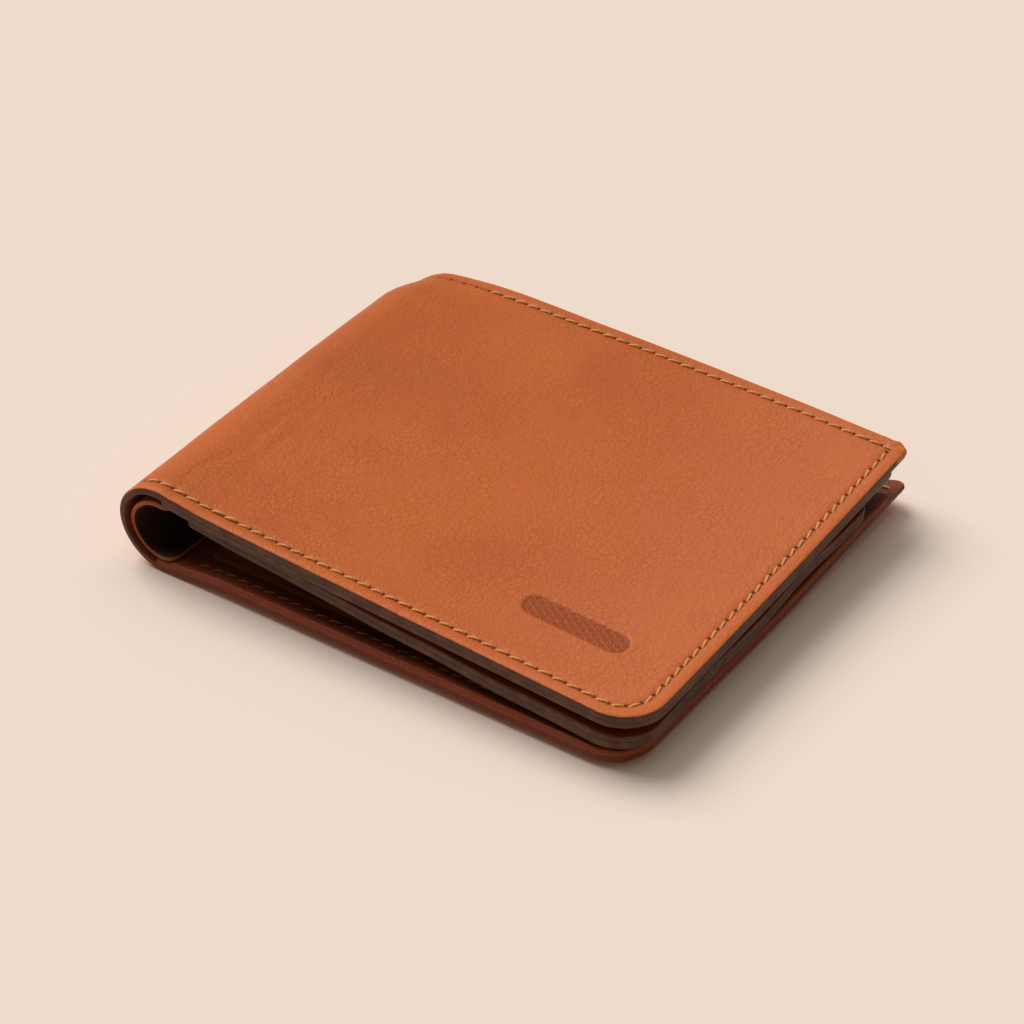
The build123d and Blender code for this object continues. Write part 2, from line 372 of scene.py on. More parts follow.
def flat_slab(u_lines, y_lines, hole=None, cuts=SIDE_CUTS):
    """A closed slab one unit thick on the grid lines: bottom at level 0, top at level 1."""
    bm = bmesh.new()
    count_u, count_y = len(u_lines) - 1, len(y_lines) - 1
    bmesh.ops.create_grid(bm, x_segments=count_u, y_segments=count_y, size=1)
    for vert in bm.verts:
        i = round((vert.co.x + 1) / 2 * count_u)
        j = round((vert.co.y + 1) / 2 * count_y)
        vert.co = (u_lines[i], y_lines[j], 0)
    if hole:
        inside = [f for f in bm.faces if in_box(f.calc_center_median(), hole)]
        bmesh.ops.delete(bm, geom=inside, context="FACES")
    extruded = bmesh.ops.extrude_face_region(bm, geom=bm.faces[:])["geom"]
    for item in extruded:
        if isinstance(item, bmesh.types.BMVert):
            item.co.z = 1
    walls = [e for e in bm.edges if abs(e.verts[0].co.z - e.verts[1].co.z) > 0.5]
    bmesh.ops.subdivide_edges(bm, edges=walls, cuts=cuts, use_grid_fill=False)
    bmesh.ops.recalc_face_normals(bm, faces=bm.faces[:])
    return bm


def in_box(point, box):
    return box[0] < point.x < box[1] and box[2] < point.y < box[3]


def make_sheet(name, place, box, depths, radii, looks, **options):
    """
    Builds one sheet as a mesh. box is (u low, u high, y low, y high), depths are of its outer and inner face, and
    looks are the materials of the outer face, the sides and the inner face. place turns (u, y, depth) into a point.
    """
    thickness = depths[1] - depths[0]
    rim = options.get("rim", min(0.5 * MM, thickness * 0.48))
    inner_rim = options.get("inner_rim", rim)
    bulge = options.get("bulge", 0.03 * MM)
    relief = options.get("relief")
    inner_relief = options.get("inner_relief")
    hole = options.get("hole")
    turned_far = options.get("turned_far", False)
    extra_u = [*options.get("cuts_u", ())] + ([hole[0], hole[1]] if hole else [])
    extra_y = [hole[2], hole[3]] if hole else []
    step = options.get("step", STEP)
    u_lines = line_places(box[0], box[1], step, extra_u, options.get("fine_u", ()))
    y_lines = line_places(box[2], box[3], step, extra_y, options.get("fine_y", ()))
    bm = flat_slab(u_lines, y_lines, hole, options.get("side_cuts", SIDE_CUTS))
    mesh = bpy.data.meshes.new(name)
    bm.to_mesh(mesh)
    bm.free()

    flat = np.empty(len(mesh.vertices) * 3)
    mesh.vertices.foreach_get("co", flat)
    flat = flat.reshape(-1, 3)
    level = flat[:, 2]
    u, y, edge, out = round_corners(flat[:, 0], flat[:, 1], box, radii)
    if hole:
        flat_u, flat_y = flat[:, 0], flat[:, 1]
        past = np.maximum.reduce([hole[0] - flat_u, flat_u - hole[1], hole[2] - flat_y, flat_y - hole[3]])
        edge = np.minimum(edge, np.abs(past))
    outer, inner = depths[0] + fall_off(edge, rim), depths[1] - fall_off(edge, inner_rim)
    depth = inner + (outer - inner) * level
    on_wall = edge < 1e-7
    swell = np.where(on_wall, bulge * np.sin(math.pi * level), 0)
    if turned_far:
        swell = np.where(on_wall & (out[:, 1] > 0.3), far_fold(u, y, level, box), swell)
    u = u + out[:, 0] * swell
    y = y + out[:, 1] * swell
    if relief is not None:
        depth = depth + relief(u, y, edge) * np.clip(level, 0, 1)
    if inner_relief is not None:
        depth = depth + inner_relief(u, y, edge) * (1 - level)
    wave = options.get("wave", 0.06 * MM)
    depth = depth + wave * ripple(u, y)
    places = place(u, y, depth)
    mesh.vertices.foreach_set("co", places.ravel())
    mesh.update()

    store(mesh, "hide", np.stack([u, y, depth], axis=-1))
    run = seam_run(u, y, box, radii, options.get("sides", "front"))
    store(mesh, "rim", np.stack([run, edge, level], axis=-1))
    for look in looks:
        mesh.materials.append(look)
    centres_edge = face_means(mesh, edge)
    centres_level = face_means(mesh, level)
    centres_out = face_means(mesh, out[:, 1])
    side = (centres_level > 0.02) & (centres_level < 0.98) | (centres_edge < 0.22 * MM)
    index = np.where(side, 1, np.where(centres_level > 0.5, 0, 2))
    if turned_far:
        by_corner = (box[3] - face_means(mesh, y) < 5 * MM) & (centres_level > 0.3) & (face_means(mesh, u) > 0)
        index = np.where(side & ((centres_out > 0.6) | by_corner), 0, index)
    mesh.polygons.foreach_set("material_index", index.astype(np.int32))
    mesh.polygons.foreach_set("use_smooth", np.ones(len(mesh.polygons), bool))
    mesh.update()
    return mesh


def fall_off(edge, rim):
    """How far a face drops near its edge, rounded with that radius."""
    inwards = 1 - np.clip(edge / rim, 0, 1)
    return rim * (1 - np.sqrt(np.clip(1 - inwards**2, 0, 1)))


def store(mesh, name, values):
    attribute = mesh.attributes.new(name, "FLOAT_VECTOR", "POINT")
    attribute.data.foreach_set("vector", values.astype(np.float32).ravel())


def face_means(mesh, values):
    """The mean over each face's corners of one value per vertex."""
    loops = np.empty(len(mesh.loops), np.int32)
    mesh.loops.foreach_get("vertex_index", loops)
    starts = np.empty(len(mesh.polygons), np.int32)
    mesh.polygons.foreach_get("loop_start", starts)
    totals = np.empty(len(mesh.polygons), np.int32)
    mesh.polygons.foreach_get("loop_total", totals)
    return np.add.reduceat(values[loops], starts) / totals


def ripple(u, y):
    """A gentle unevenness of about plus or minus one, with waves some centimetres long."""
    a, b = u / MM, y / MM
    waves = np.sin(a * 0.21 + b * 0.05 + 1.3) + np.sin(a * 0.07 - b * 0.19 + 0.4) + 0.6 * np.sin(b * 0.41 + a * 0.3)
    return waves / 2.6


def far_fold(u, y, level, box):
    """How far the turned far edge bulges, with small pleats gathered round the free corner."""
    to_corner = np.hypot(box[1] - u, box[3] - y) / MM
    pleats = 0.22 * np.sin(to_corner * 3.4) * np.exp(-to_corner / 3.0)
    return (0.32 * np.sin(math.pi * np.clip(level, 0, 1)) ** 0.7 + pleats) * MM


SEAM_INSET = 2.9 * MM


def seam_run(u, y, box, radii, sides):
    """How far along the seam a point lies: along the near edge, up the free side, and back along the far edge."""
    u0, u1, y0, y1 = box
    mirrored = (u < (u0 + u1) / 2) if sides == "both" else np.full(len(u), sides == "back")
    u = np.where(mirrored, u0 + u1 - u, u)
    radii = radii if sides != "back" else (radii[1], radii[0], radii[3], radii[2])
    turn_radius = max(radii[1] - SEAM_INSET, 0.1 * MM)
    straight = u1 - radii[1] - u0
    angle = np.arctan2(np.maximum(u - (u1 - radii[1]), 0), np.maximum(y0 + radii[1] - y, 1e-9))
    side = straight + turn_radius * math.pi / 2 + np.clip(y - (y0 + radii[1]), 0, y1 - SEAM_INSET - y0 - radii[1])
    corner_run = straight + turn_radius * math.pi / 2 + (y1 - SEAM_INSET - y0 - radii[1])
    far = corner_run + np.maximum(u1 - SEAM_INSET - u, 0)
    near = np.minimum(u, u1 - radii[1]) - u0 + turn_radius * angle
    on_far = (y1 - y) < (u1 - u)
    upper = y > y0 + radii[1]
    near_side = ~upper | ((y - y0) < (u1 - u)) & (y < (y0 + y1) / 2)
    return np.where(near_side, near, np.where(on_far, far, side))


def split_at(mesh, name, cuts):
    """Cuts a sheet at these u values into closed pieces that keep the whole sheet's smooth normals."""
    normals = np.empty(len(mesh.vertices) * 3)
    mesh.vertices.foreach_get("normal", normals)
    store(mesh, "whole_normal", normals.reshape(-1, 3))
    bounds = [-1.0, *cuts, 1.0]
    pieces = []
    for k, (low, high) in enumerate(zip(bounds[:-1], bounds[1:]), start=1):
        bm = bmesh.new()
        bm.from_mesh(mesh)
        hide = bm.verts.layers.float_vector["hide"]
        outside = [f for f in bm.faces if not low < sum(v[hide].x for v in f.verts) / len(f.verts) < high]
        bmesh.ops.delete(bm, geom=outside, context="FACES")
        rims = [e for e in bm.edges if e.is_boundary]
        caps = bmesh.ops.holes_fill(bm, edges=rims, sides=0)["faces"]
        for face in caps:
            face.material_index = 1
        bmesh.ops.recalc_face_normals(bm, faces=bm.faces[:])
        part = bpy.data.meshes.new(f"{name}_{k}")
        bm.to_mesh(part)
        bm.free()
        for look in mesh.materials:
            part.materials.append(look)
        vectors = np.empty(len(part.vertices) * 3, np.float32)
        part.attributes["whole_normal"].data.foreach_get("vector", vectors)
        part.normals_split_custom_set_from_vertices(vectors.reshape(-1, 3).tolist())
        part.attributes.remove(part.attributes["whole_normal"])
        pieces.append(add_object(f"{name}_{k}", part))
    bpy.data.meshes.remove(mesh)
    return pieces


def add_object(name, mesh):
    obj = bpy.data.objects.new(name, mesh)
    scene.collection.objects.link(obj)
    return obj


def blend_at_joint(piece):
    """Bakes the piece's transform into its mesh; the piece is not tied to any body."""
    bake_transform(piece)


def blend_round_spine(pieces):
    """Bakes each piece's transform into its mesh."""
    for k, piece in enumerate(pieces):
        blend_at_joint(piece)


cut_lines = [k * turn * bend_radius - half_arc for k in range(1, len(hinges))]
print("the hide is cut for bending at u =", [round(c / MM, 2) for c in cut_lines], "mm")

# %% [markdown]
# ## Materials
#
# Vegetable-tanned leather that was milled soft shows a fine net of cracks round flat pebbles, lighter where it has
# been rubbed and deeper in the creases. Towards the free side the outside is mixed lighter, a painted highlight.
# The net is a Voronoi edge distance in hide coordinates, so that it bends with the leather instead of sliding over
# it. Cell sizes are given in millimetres and turned into scales. Height goes into a bump, and the same height tints
# the colour, because dye and wear follow the grain.

# %% Leather
def hide_coordinates(tree, millimetres):
    """Hide coordinates scaled so that one unit is a cell of that many millimetres."""
    place = add(tree, "ShaderNodeAttribute", attribute_name="hide")
    scale = [1 / (millimetres * MM)] * 3
    return add(
        tree, "ShaderNodeVectorMath", {0: place.outputs["Vector"]}, operation="MULTIPLY", inputs={1: scale}
    ).outputs[0]


def noise(tree, vector, detail=3.0, roughness=0.55):
    node = add(
        tree,
        "ShaderNodeTexNoise",
        {"Vector": vector},
        inputs={"Scale": 1.0, "Detail": detail, "Roughness": roughness, "Distortion": 0.0},
    )
    return node.outputs["Fac"]


def remap(tree, value, low, high, to_low=0.0, to_high=1.0):
    node = add(
        tree,
        "ShaderNodeMapRange",
        {"Value": value},
        interpolation_type="SMOOTHSTEP",
        inputs={"From Min": low, "From Max": high, "To Min": to_low, "To Max": to_high},
    )
    return node.outputs["Result"]


def mix(tree, factor, first, second):
    """Mixes two colours, each a hex code or another node's output."""
    node = add(tree, "ShaderNodeMix", {"Factor": factor}, data_type="RGBA")
    for socket, value in ((node.inputs[6], first), (node.inputs[7], second)):
        if isinstance(value, str):
            socket.default_value = colour(value)
        else:
            tree.links.new(value, socket)
    return node.outputs[2]


def maths(tree, operation, first, second=0.0, third=0.0):
    node = add(tree, "ShaderNodeMath", operation=operation)
    for socket, value in zip(node.inputs, (first, second, third)):
        if isinstance(value, (int, float)):
            socket.default_value = value
        else:
            tree.links.new(value, socket)
    return node.outputs[0]


def crack_net(tree, cell, warp, width):
    """A net of fine cracks: 0 in a crack, 1 on a pebble."""
    place = hide_coordinates(tree, cell)
    wobble = add(
        tree, "ShaderNodeTexNoise", {"Vector": place}, inputs={"Scale": 1.7, "Detail": 2.0, "Roughness": 0.6}
    )
    bent = add(
        tree,
        "ShaderNodeVectorMath",
        {0: wobble.outputs["Color"], 2: place},
        operation="MULTIPLY_ADD",
        inputs={1: (warp, warp, warp)},
    )
    cells = add(
        tree, "ShaderNodeTexVoronoi", {"Vector": bent.outputs[0]}, feature="DISTANCE_TO_EDGE", inputs={"Scale": 1.0}
    )
    return remap(tree, cells.outputs["Distance"], 0.0, width)


PITCH = 3.0 * MM
STAMP_U, STAMP_Y = u_front - 24 * MM, near_y + 16.8 * MM
STAMP_HALF, STAMP_RADIUS = 8.3 * MM, 2.7 * MM


def stamp_mask(tree, place):
    """1 inside the stadium-shaped stamp."""
    x = maths(tree, "ABSOLUTE", maths(tree, "SUBTRACT", place[0], STAMP_U / MM))
    x = maths(tree, "MAXIMUM", maths(tree, "SUBTRACT", x, STAMP_HALF / MM), 0.0)
    y = maths(tree, "SUBTRACT", place[1], STAMP_Y / MM)
    square = maths(tree, "ADD", maths(tree, "MULTIPLY", x, x), maths(tree, "MULTIPLY", y, y))
    return remap(tree, maths(tree, "SQRT", square), STAMP_RADIUS / MM - 0.25, STAMP_RADIUS / MM + 0.15, 1.0, 0.0)


def lattice(tree, place):
    """Crossed ridges 1.5 mm apart, for the floor of the stamp."""
    lines = []
    for operation in ("ADD", "SUBTRACT"):
        diagonal = maths(tree, operation, maths(tree, "MULTIPLY", place[0], 0.62), place[1])
        lines.append(maths(tree, "PINGPONG", maths(tree, "DIVIDE", diagonal, 1.5), 0.5))
    return remap(tree, maths(tree, "MINIMUM", *lines), 0.06, 0.2, 1.0, 0.0)


def leather(name, light, middle, dark, crack, sewn=True, gloss=0.42, free_side_highlight=None):
    """Milled leather. Sewn leather has a seam channel; the outside, with a painted highlight towards the free side,
    also has the stamp.
    """
    material, tree, shader = new_material(name)
    fine = crack_net(tree, 1.25, 0.95, 0.2)
    coarse = crack_net(tree, 2.4, 1.0, 0.14)
    pores = noise(tree, hide_coordinates(tree, 0.35), 2.0)
    patches = noise(tree, hide_coordinates(tree, 14.0), 4.0, 0.6)
    clouds = noise(tree, hide_coordinates(tree, 42.0), 2.0)
    soft = noise(tree, hide_coordinates(tree, 3.2), 3.0)
    depth_of_net = remap(tree, patches, 0.32, 0.68, 0.35, 1.0)
    net = maths(tree, "SUBTRACT", 1.0, maths(tree, "MULTIPLY", maths(tree, "SUBTRACT", 1.0, fine), depth_of_net))
    grain = maths(tree, "MULTIPLY_ADD", coarse, 0.3, maths(tree, "MULTIPLY", net, 0.7))
    base = mix(tree, remap(tree, clouds, 0.35, 0.65), dark, middle)
    base = mix(tree, remap(tree, patches, 0.4, 0.72, 0.0, 0.4), base, light)
    if free_side_highlight:
        place = add(tree, "ShaderNodeSeparateXYZ", {0: hide_coordinates(tree, 1.0)}).outputs
        stamp, ridges = stamp_mask(tree, place), lattice(tree, place)
        # Painted highlight: towards the free side the outside colour is mixed to a lighter, pinker highlight
        # colour.
        towards_free = remap(tree, place[0], half_arc / MM + 45, u_front / MM, 0.0, 0.85)
        base = mix(tree, towards_free, base, free_side_highlight)
    tint = maths(tree, "MULTIPLY", maths(tree, "SUBTRACT", 1.0, grain), 0.2)
    base = mix(tree, tint, base, crack)
    height = maths(tree, "MULTIPLY_ADD", grain, 0.75, maths(tree, "MULTIPLY", pores, 0.12))
    height = maths(tree, "MULTIPLY_ADD", soft, 0.5, height)
    if free_side_highlight:
        floor = maths(tree, "MULTIPLY", stamp, maths(tree, "MULTIPLY_ADD", ridges, -0.3, 0.95))
        base = mix(tree, floor, base, "#933F04")
        height = maths(tree, "MULTIPLY_ADD", maths(tree, "MULTIPLY", stamp, ridges), 0.8, height)
    if sewn:
        rim = add(tree, "ShaderNodeAttribute", attribute_name="rim")
        run, edge = add(tree, "ShaderNodeSeparateXYZ", {0: rim.outputs["Vector"]}).outputs[:2]
        from_hole = maths(tree, "PINGPONG", maths(tree, "DIVIDE", run, PITCH), 0.5)
        along = maths(tree, "MULTIPLY", from_hole, PITCH / MM)
        across = maths(tree, "DIVIDE", maths(tree, "SUBTRACT", edge, SEAM_INSET), MM)
        square = maths(tree, "ADD", maths(tree, "MULTIPLY", along, along), maths(tree, "MULTIPLY", across, across))
        hole = remap(tree, maths(tree, "SQRT", square), 0.2, 0.52, 1.0, 0.0)
        channel = remap(tree, maths(tree, "ABSOLUTE", across), 0.15, 0.8, 1.0, 0.0)
        base = mix(tree, maths(tree, "MULTIPLY", channel, 0.35), base, crack)
        # Painted shade: each stitch hole is darkened, as the shade inside a hole.
        base = mix(tree, maths(tree, "MULTIPLY", hole, 0.85), base, "#5A2208")
        rub = remap(tree, edge, 0.25 * MM, 2.1 * MM, 0.55, 0.0)
        base = mix(tree, rub, base, light)
        height = maths(tree, "SUBTRACT", height, maths(tree, "MULTIPLY", hole, 0.9))
    tree.links.new(base, shader.inputs["Base Color"])
    shine = maths(tree, "MULTIPLY_ADD", maths(tree, "SUBTRACT", 1.0, grain), 0.3, gloss)
    if sewn:
        shine = maths(tree, "MULTIPLY_ADD", hole, 0.5, shine)
    tree.links.new(shine, shader.inputs["Roughness"])
    bump = add(tree, "ShaderNodeBump", {"Height": height}, inputs={"Strength": 0.8, "Distance": 0.14 * MM})
    tree.links.new(bump.outputs[0], shader.inputs["Normal"])
    shader.inputs["Specular IOR Level"].default_value = 0.27
    shader.inputs["Sheen Weight"].default_value = 0.04
    shader.inputs["Sheen Roughness"].default_value = 0.4
    return material


def painted_edge(name, light, dark, lower):
    """Edge paint: thin, uneven, half glossy. On the back cover it has rubbed off to the brown leather below."""
    material, tree, shader = new_material(name)
    blotches = noise(tree, hide_coordinates(tree, 3.0), 3.0)
    specks = noise(tree, hide_coordinates(tree, 0.45), 2.0)
    base = mix(tree, remap(tree, blotches, 0.35, 0.7), dark, light)
    place = add(tree, "ShaderNodeSeparateXYZ", {0: hide_coordinates(tree, 1.0)}).outputs
    base = mix(tree, remap(tree, place[0], -12.0, 4.0, 0.85, 0.0), base, lower)
    tree.links.new(base, shader.inputs["Base Color"])
    shader.inputs["Roughness"].default_value = 0.48
    shader.inputs["Specular IOR Level"].default_value = 0.22
    height = maths(tree, "MULTIPLY_ADD", specks, 0.35, blotches)
    bump = add(tree, "ShaderNodeBump", {"Height": height}, inputs={"Strength": 0.5, "Distance": 0.12 * MM})
    tree.links.new(bump.outputs[0], shader.inputs["Normal"])
    return material


def woven_cloth(name, base_code, gap_code):
    """Plain weave of 0.4 mm threads: two crossed sets of waves."""
    material, tree, shader = new_material(name)
    place = add(tree, "ShaderNodeSeparateXYZ", {0: hide_coordinates(tree, 0.4)}).outputs
    warp = maths(tree, "SINE", maths(tree, "MULTIPLY", place[0], math.pi))
    weft = maths(tree, "SINE", maths(tree, "MULTIPLY", place[1], math.pi))
    over = maths(tree, "MULTIPLY", warp, weft)
    fuzz = noise(tree, hide_coordinates(tree, 5.0), 4.0)
    base = mix(tree, remap(tree, over, -0.6, 0.6, 0.0, 1.0), gap_code, base_code)
    base = mix(tree, remap(tree, fuzz, 0.3, 0.8, 0.0, 0.3), base, gap_code)
    tree.links.new(base, shader.inputs["Base Color"])
    bump = add(tree, "ShaderNodeBump", {"Height": over}, inputs={"Strength": 0.6, "Distance": 0.08 * MM})
    tree.links.new(bump.outputs[0], shader.inputs["Normal"])
    shader.inputs["Roughness"].default_value = 0.85
    shader.inputs["Specular IOR Level"].default_value = 0.2
    return material


def waxed_thread(name, code, shade):
    """Twisted linen thread: slanted stripes from the stitch's own rest coordinates."""
    material, tree, shader = new_material(name)
    place = add(tree, "ShaderNodeAttribute", attribute_name="strand")
    along, round_it = add(tree, "ShaderNodeSeparateXYZ", {0: place.outputs["Vector"]}).outputs[:2]
    twist = maths(tree, "SINE", maths(tree, "MULTIPLY_ADD", along, 2 * math.pi / (0.55 * MM), round_it))
    base = mix(tree, remap(tree, twist, -0.9, 0.5), shade, code)
    tree.links.new(base, shader.inputs["Base Color"])
    bump = add(tree, "ShaderNodeBump", {"Height": twist}, inputs={"Strength": 0.35, "Distance": 0.06 * MM})
    tree.links.new(bump.outputs[0], shader.inputs["Normal"])
    shader.inputs["Roughness"].default_value = 0.55
    shader.inputs["Sheen Weight"].default_value = 0.3
    return material


def clear_film(name):
    material, tree, shader = new_material(name)
    shader.inputs["Base Color"].default_value = colour("#E9E4DA")
    shader.inputs["Alpha"].default_value = 0.22
    shader.inputs["Roughness"].default_value = 0.18
    scuffs = noise(tree, hide_coordinates(tree, 6.0), 5.0, 0.7)
    bump = add(tree, "ShaderNodeBump", {"Height": scuffs}, inputs={"Strength": 0.12, "Distance": 0.1 * MM})
    tree.links.new(bump.outputs[0], shader.inputs["Normal"])
    return material


tan_outside = leather("tan_milled_leather", "#CB6725", "#BF5C19", "#B45417", "#762F0E", free_side_highlight="#C96836")
# Painted shade: the inner leather seen in the closed wallet's gaps keeps its own tone, deepened to stand for the
# shade there.
inner_grain_painted_shade = leather("inner_leather_grain", "#8F3E15", "#782E0F", "#63250C", "#321208")
plain_grain = leather("plain_inner_leather", "#A25229", "#8C4521", "#77391B", "#3F1B0C", sewn=False, gloss=0.5)
strip_orange = leather("spine_strip_leather", "#B85E2C", "#A65224", "#8F451D", "#54240F", sewn=False)
edge_paint = painted_edge("edge_paint", "#64402F", "#4D3023", "#70300F")
# Painted shade: the strip's inner face is near black, standing in for the shade inside the spine's loop.
strip_inside_painted_shade = leather("spine_strip_inside", "#3E1C0D", "#31150A", "#260F07", "#160804", sewn=False, gloss=0.6)
cloth = woven_cloth("note_lining_weave", "#6A4632", "#2F1B12")
golden_thread = waxed_thread("golden_waxed_thread", "#E59A40", "#CC8030")
brown_thread = waxed_thread("brown_inner_thread", "#8A5028", "#5F3216")
film = clear_film("clear_window_film")
print("materials:", len(bpy.data.materials))

# %% [markdown]
# ## The hide
#
# One piece of leather makes both covers and the spine. It is drawn whole, so that its grain runs on without a
# break, and only then cut across the spine into pieces. Its outside carries the marks of making and use: a pressed
# seam channel with the leather swelling beside it, soft creases next to the spine, and a small stadium-shaped
# stamp with a plain lattice near the free corner.

# %% Build the hide
SEAM_START_NEAR = half_arc - 6.2 * MM
SEAM_END_FAR = half_arc + 8.4 * MM


def seam_here(u, y):
    """1 where the outer seam runs, fading to 0 on the spine."""
    start = np.where(y < (near_y + far_y) / 2, SEAM_START_NEAR, SEAM_END_FAR)
    return ease((np.abs(u) - start + 1 * MM) / (2 * MM))


def hide_relief(u, y, edge):
    """Depth added to the outer face of the hide: plus is inwards."""
    e = edge / MM
    channel = 0.17 * bell(e, 2.9, 0.5) - 0.1 * bell(e, 1.5, 0.8) - 0.08 * bell(e, 4.3, 1.0)
    stamp = np.hypot(np.maximum(np.abs(u - STAMP_U) - STAMP_HALF, 0), y - STAMP_Y)
    pressed = 0.3 * (1 - ease((stamp - STAMP_RADIUS) / (0.5 * MM) + 0.5))
    pressed = pressed - 0.05 * bell(stamp, STAMP_RADIUS + 0.6 * MM, 0.6 * MM)
    from_spine = (np.abs(u) - half_arc) / MM
    sway = 1.6 * np.sin(y / (9 * MM)) + 0.7 * np.sin(y / (3.1 * MM) + 1)
    creases = 0.09 * bell(from_spine + sway, 3.0, 0.9) + 0.07 * bell(from_spine - 0.7 * sway, 8.5, 1.1)
    near = 1 - ease((y - near_y - 30 * MM) / (40 * MM))
    nick = 0.25 * bell((u - STAMP_U + 26 * MM) / MM + (y - near_y) / MM * 0.4, 0, 0.35)
    nick = nick * ease(1 - (y - near_y) / (3 * MM))
    corner_u = np.where(u > 0, u_front - u, u - u_back) / MM
    corner_y = (far_y - y) / MM
    pleats = 0.17 * np.sin(13 * np.arctan2(corner_y - 5, corner_u - 5))
    pleats = pleats * np.exp(-((np.hypot(corner_u, corner_y) / 4.5) ** 2)) * ease((3.2 - e) / 1.5)
    return (channel * seam_here(u, y) + pressed + creases * (0.35 + 0.65 * near) + nick + pleats) * MM


whole = (u_back, u_front, near_y, far_y)
SHELL_CORNERS = (9 * MM, 9 * MM, 2.5 * MM, 2.5 * MM)
shell_depths = (0.0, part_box("back_shell")[1].z)
hide = make_sheet(
    "hide",
    roll_up,
    whole,
    shell_depths,
    SHELL_CORNERS,
    (tan_outside, edge_paint, plain_grain),
    relief=hide_relief,
    cuts_u=cut_lines,
    fine_u=[
        (STAMP_U - 12 * MM, STAMP_U + 12 * MM, 0.32 * MM),
        (-half_arc - 4 * MM, half_arc + 10 * MM, 0.5 * MM),
    ],
    fine_y=[(STAMP_Y - 4 * MM, STAMP_Y + 4 * MM, 0.3 * MM)],
    rim=0.55 * MM,
    inner_rim=0.01 * MM,
    bulge=0.02 * MM,
    turned_far=True,
    sides="both",
)
hide_pieces = split_at(hide, "hide", cut_lines)
blend_round_spine(hide_pieces)
covered = ["back_shell", *[f"spine_leather_{k}" for k in range(1, len(hinges))], "front_shell"]
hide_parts(covered[0])
for piece, node in zip(hide_pieces, covered[1:]):
    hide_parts(node)
for piece in hide_pieces:
    print(piece.name, "triangles:", sum(len(f.vertices) - 2 for f in piece.data.polygons))

# %% [markdown]
# ## Lining and spine strip
#
# Behind the hide lies a cloth lining, and on the inside of the spine a separate strip of leather laps onto both
# inner panels. It bends on a smaller radius, which leaves a dark gap between the two at the open near end. Both
# are made and cut like the hide.

# %% Build the lining and the strip


def front_u(x):
    return half_arc + (x - front_start_x) / math.cos(front_tilt)


def back_u(x):
    return -half_arc - (x - bend_x)


lining_low, lining_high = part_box("back_lining")
lining_box = (back_u(lining_high.x), front_u(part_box("front_lining")[1].x), lining_low.y, lining_high.y)
lining = make_sheet(
    "lining",
    roll_up,
    lining_box,
    (lining_low.z + 0.03 * MM, lining_high.z - 0.02 * MM),
    (3 * MM,) * 4,
    (cloth, cloth, cloth),
    cuts_u=cut_lines,
    step=1.6 * MM,
    side_cuts=1,
    bulge=0.0,
)
lining_pieces = split_at(lining, "lining", cut_lines)
lining_width, lining_height = lining_box[1] - lining_box[0], lining_box[3] - lining_box[2]
print("lining, flat, in mm:", round(lining_width / MM, 1), round(lining_height / MM, 1))
blend_round_spine(lining_pieces)
covered = ["back_lining", *[f"spine_lining_{k}" for k in range(1, len(hinges))], "front_lining"]
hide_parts(covered[0])
for piece, node in zip(lining_pieces, covered[1:]):
    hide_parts(node)

lap_low, lap_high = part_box("back_strip_lap")
strip_box = (back_u(lap_high.x), front_u(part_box("front_strip_lap")[1].x), lap_low.y, lap_high.y)
strip = make_sheet(
    "inner_strip",
    roll_up,
    strip_box,
    (lap_low.z + 0.02 * MM, lap_high.z),
    (2.5 * MM,) * 4,
    (strip_orange, strip_orange, strip_inside_painted_shade),
    cuts_u=cut_lines,
    bulge=0.1 * MM,
    wave=0.12 * MM,
)
strip_pieces = split_at(strip, "inner_strip", cut_lines)
blend_round_spine(strip_pieces)
covered = ["back_strip_lap", *[f"spine_strip_{k}" for k in range(1, len(hinges))], "front_strip_lap"]
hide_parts(covered[0])
for piece, node in zip(strip_pieces, covered[1:]):
    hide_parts(node)
print("spine strip u range in mm:", [round(v / MM, 1) for v in strip_box[:2]])

# %% [markdown]
# ## Inner panels and card slots
#
# Each cover has an inner panel, sewn to the hide at the near and free edges and open at the far edge, where notes
# go in. Card slots are stacked on it like roof tiles, with a thin cloth behind them. Their places are read from
# the frame. The panel's outer face comes forward to meet the hide along the two sewn rims.

# %% Build the panels
RIM_WIDTH = 5.5 * MM


def panel_relief(u, y, edge):
    """Brings the hidden face forward to the hide along the near and the free edge."""
    from_free = np.where(u > 0, u_front - u, u - u_back)
    to_rim = np.minimum(from_free, y - near_y)
    return -0.62 * MM * (1 - ease((to_rim - RIM_WIDTH) / (1.5 * MM) + 0.5))


def plain_box(node, to_u):
    low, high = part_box(node)
    ends = sorted((to_u(low.x), to_u(high.x)))
    return (ends[0], ends[1], low.y, high.y)


def finish_piece(name, mesh, body, nodes):
    piece = add_object(name, mesh)
    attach(piece, body)
    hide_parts(*nodes)
    return piece


